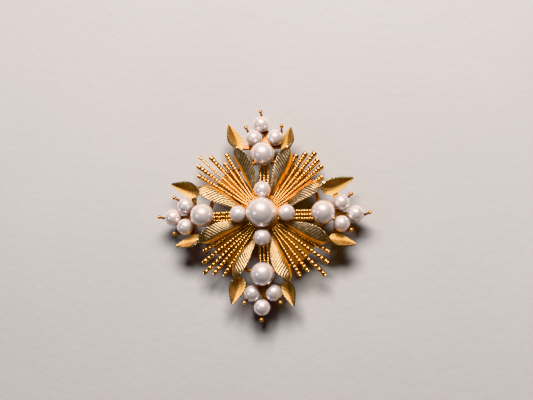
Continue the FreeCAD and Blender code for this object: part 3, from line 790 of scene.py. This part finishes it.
def leafOffset(asides, out):
    marks, steps = leafShape["marks"], (0.0, *asides)
    for n in range(len(asides)):
        if out <= marks[n + 1]:
            share = (out - marks[n]) / (marks[n + 1] - marks[n])
            return steps[n] + (steps[n + 1] - steps[n]) * eased(share)
    return steps[-1]


def leafReach(crossing, tip, out):
    root, regularCrossing, regularTip = leafShape["regular"]
    if out <= regularCrossing:
        return root + (out - root) * (crossing - root) / (regularCrossing - root)
    return crossing + (out - regularCrossing) * (tip - crossing) / (regularTip - regularCrossing)


def smoothLine(points, share):  # a smooth line through the points, share from 0 to 1
    place = min(share * (len(points) - 1), len(points) - 1.0001)
    n = int(place)
    t = place - n
    a, b, c, d = (points[min(max(k, 0), len(points) - 1)] for k in (n - 1, n, n + 1, n + 2))
    bend = (2 * a - 5 * b + 4 * c - d) * t ** 2 + (3 * b - a - 3 * c + d) * t ** 3
    return 0.5 * (2 * b + (c - a) * t + bend)


def leafEdges(crossing, tip, asides):
    edges = ([], [])
    for station in leafStations:
        for edge, (out, aside, height) in zip(edges, station):
            edge.append(Vector((leafReach(crossing, tip, out), aside + leafOffset(asides, out), height)))
    return edges


def evenShares(edges, steps):  # shares that walk evenly down the middle of the leaf
    fine, walked, shares, k = 400, [0.0], [], 0
    middle = [smoothLine(edges[0], n / fine) + smoothLine(edges[1], n / fine) for n in range(fine + 1)]
    for n in range(fine):
        walked.append(walked[-1] + (middle[n + 1] - middle[n]).length)
    for n in range(steps + 1):
        goal = walked[-1] * n / steps
        while k < fine - 1 and walked[k + 1] < goal:
            k += 1
        shares.append(min((k + (goal - walked[k]) / (walked[k + 1] - walked[k])) / fine, 1.0))
    return shares


def leafColumns(edges):  # for each step from root to tip: both edges and the way the leaf faces
    columns, step = [], 0.01
    for share in evenShares(edges, leafShape["along"]):
        first, second = (smoothLine(edge, share) for edge in edges)
        ahead = [smoothLine(edge, min(share + step, 1.0)) for edge in edges]
        behind = [smoothLine(edge, max(share - step, 0.0)) for edge in edges]
        along = (ahead[0] + ahead[1]) - (behind[0] + behind[1])
        columns.append((first * mm, second * mm, along.cross(second - first).normalized()))
    return columns


def leafPoint(column, share, across):  # a point on the middle of the leaf's skin
    first, second, face = column
    width, rib = (second - first).length, leafFinish["rib"]
    fold = across / rib if across < rib else (1 - across) / (1 - rib)
    crease = fold - leafShape["crease"] * math.exp(-(((across - rib) / leafShape["creaseWidth"]) ** 2))
    swell = leafShape["swell"] * math.sin(math.pi * fold)
    turn = math.pi * (leafFinish["cutsAlong"] * share + leafFinish["cutsAcross"] * across)
    fadeIn = leafShape["fadeIn"]
    engraved = 1.0 if share > leafShape["turned"] else 1 - eased((across - rib + fadeIn) / fadeIn)
    fade = min(1.0, across / fadeIn, (1 - across) / leafShape["fadeOut"], width / leafShape["fadeWidth"])
    cut = leafShape["cutDepth"] * (abs(math.sin(turn)) - leafShape["cutLevel"]) * engraved * max(fade, 0.0)
    return first.lerp(second, across) + face * (width * (leafShape["rise"] * crease + swell) + cut)


def addRimBeads(name, columns, toArm):  # a beaded thread along the edge beside the arm
    beads = leafShape["beads"]
    clearSelection()
    radius = beads["dia"] / 2
    bpy.ops.mesh.primitive_uv_sphere_add(segments=8, ring_count=6, radius=radius, location=(0, 0, 0))
    bead = takePiece("rimBead")
    bpy.ops.transform.resize(value=(1, 1, beads["flat"]), center_override=(0, 0, 0))
    dressPiece(bead, [leafRimAndHighlight])
    bpy.ops.object.shade_smooth()
    made, walked, last = [], 0.0, None
    for n, (first, second, _) in enumerate(columns):
        share = n / leafShape["along"]
        if last is not None:
            walked += (first - last).length
        last = first
        if beads["first"] <= share <= beads["last"] and walked >= beads["pitch"] * (len(made) + 1):
            spot = toArm(first + (second - first).normalized() * beads["inset"])
            made.append(copyPiece(bead, f"{name}Bead{len(made)}", Matrix.Translation(spot)))
        elif share < beads["first"]:
            walked = 0.0
    bpy.data.objects.remove(bead)
    return made


def addLeaf(name, crossing, tip, asides):
    arm, side = name.split("_")
    hand = 1 if side == "left" else -1
    turn = turnedBy(armNames[arm])
    columns = leafColumns(leafEdges(crossing, tip, asides))
    clearSelection()
    bpy.ops.mesh.primitive_grid_add(
        x_subdivisions=leafShape["along"], y_subdivisions=leafShape["across"], size=1, location=(0, 0, 0)
    )
    leaf = takePiece(f"engraved_leaf_{name}")
    for vertex in leaf.data.vertices:
        share, across = vertex.co.x + 0.5, vertex.co.y + 0.5
        spot = leafPoint(columns[round(share * leafShape["along"])], share, across)
        vertex.co = turn @ Vector((spot.x, spot.y * hand, spot.z))
    pickOnly(leaf)
    if hand < 0:
        bpy.ops.object.mode_set(mode="EDIT")
        bpy.ops.mesh.select_all(action="SELECT")
        bpy.ops.mesh.flip_normals()
        bpy.ops.object.mode_set(mode="OBJECT")
    skin = leaf.modifiers.new("skin", "SOLIDIFY")
    skin.thickness = leafShape["thickness"]
    skin.offset = 0
    skin.material_offset = 1
    skin.material_offset_rim = 2
    dressPiece(leaf, [leafFront, leafBack, leafRimAndHighlight])
    bpy.ops.object.modifier_apply(modifier=skin.name)
    bpy.ops.object.shade_smooth_by_angle(angle=leafShape["smoothBelow"])
    beads = addRimBeads(name, columns, lambda spot: turn @ Vector((spot.x, spot.y * hand, spot.z)))
    leaf = joinPieces([leaf, *beads], leaf.name)
    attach(leaf, "brooch")
    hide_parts(f"leaf_{name}")


for leafName, leafValues in leaves.items():
    addLeaf(leafName, *leafValues)
print("leaves are on")


# the pieces that keep their plain shape get their finishes

def finishNodes():
    for name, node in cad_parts.items():
        if "pearl" in name:
            material = pearlNacre
        elif name == "pin_stem":
            material = pinSteel
        elif name in ("hinge_bracket", "hinge_rivet", "catch_body", "catch_rotor"):
            material = findingsGold
        # these pieces take the darkened gold, a painted shade for where they lie under others
        elif name in ("gallery_ring", "leaf_posts", "hub", "back_bar") or name.startswith("bud_mount"):
            material = shadedGold
        else:
            material = polishedGold
        dressPiece(node, [material])


finishNodes()


# floor

floorLook = {
    "size": 1.6,
    "light": (0.425, 0.405, 0.395),
    "dark": (0.385, 0.366, 0.357),
    "tooth": 0.45,  # how much of the board's fibre can be seen
    "toothDepth": 0.2 * mm,
    "cloudScale": 22.0,
    "fibreScale": 520.0,
    "roughness": 0.85,
}


def makeFloorPaint():
    material, tree, shader = newMaterial("paleBoard")
    place = addNode(tree, "TexCoord")
    cloud = addNode(tree, "TexNoise", Scale=floorLook["cloudScale"], Detail=4.0)
    fibre = addNode(tree, "TexNoise", Scale=floorLook["fibreScale"], Detail=4.0)
    for node in (cloud, fibre):
        tree.links.new(place.outputs["Object"], node.inputs["Vector"])
    colour = addMix(tree, cloud.outputs["Fac"], floorLook["dark"], floorLook["light"])
    tree.links.new(colour, shader.inputs["Base Color"])
    shader.inputs["Roughness"].default_value = floorLook["roughness"]
    bump = addBump(tree, fibre.outputs["Fac"], floorLook["tooth"], floorLook["toothDepth"])
    tree.links.new(bump, shader.inputs["Normal"])
    return material


def addFloor():
    clearSelection()
    bpy.ops.mesh.primitive_plane_add(size=floorLook["size"], location=(0, 0, cadBox[0][2]))
    floor = takePiece("floor")
    dressPiece(floor, [makeFloorPaint()])


addFloor()
print("floor is down")
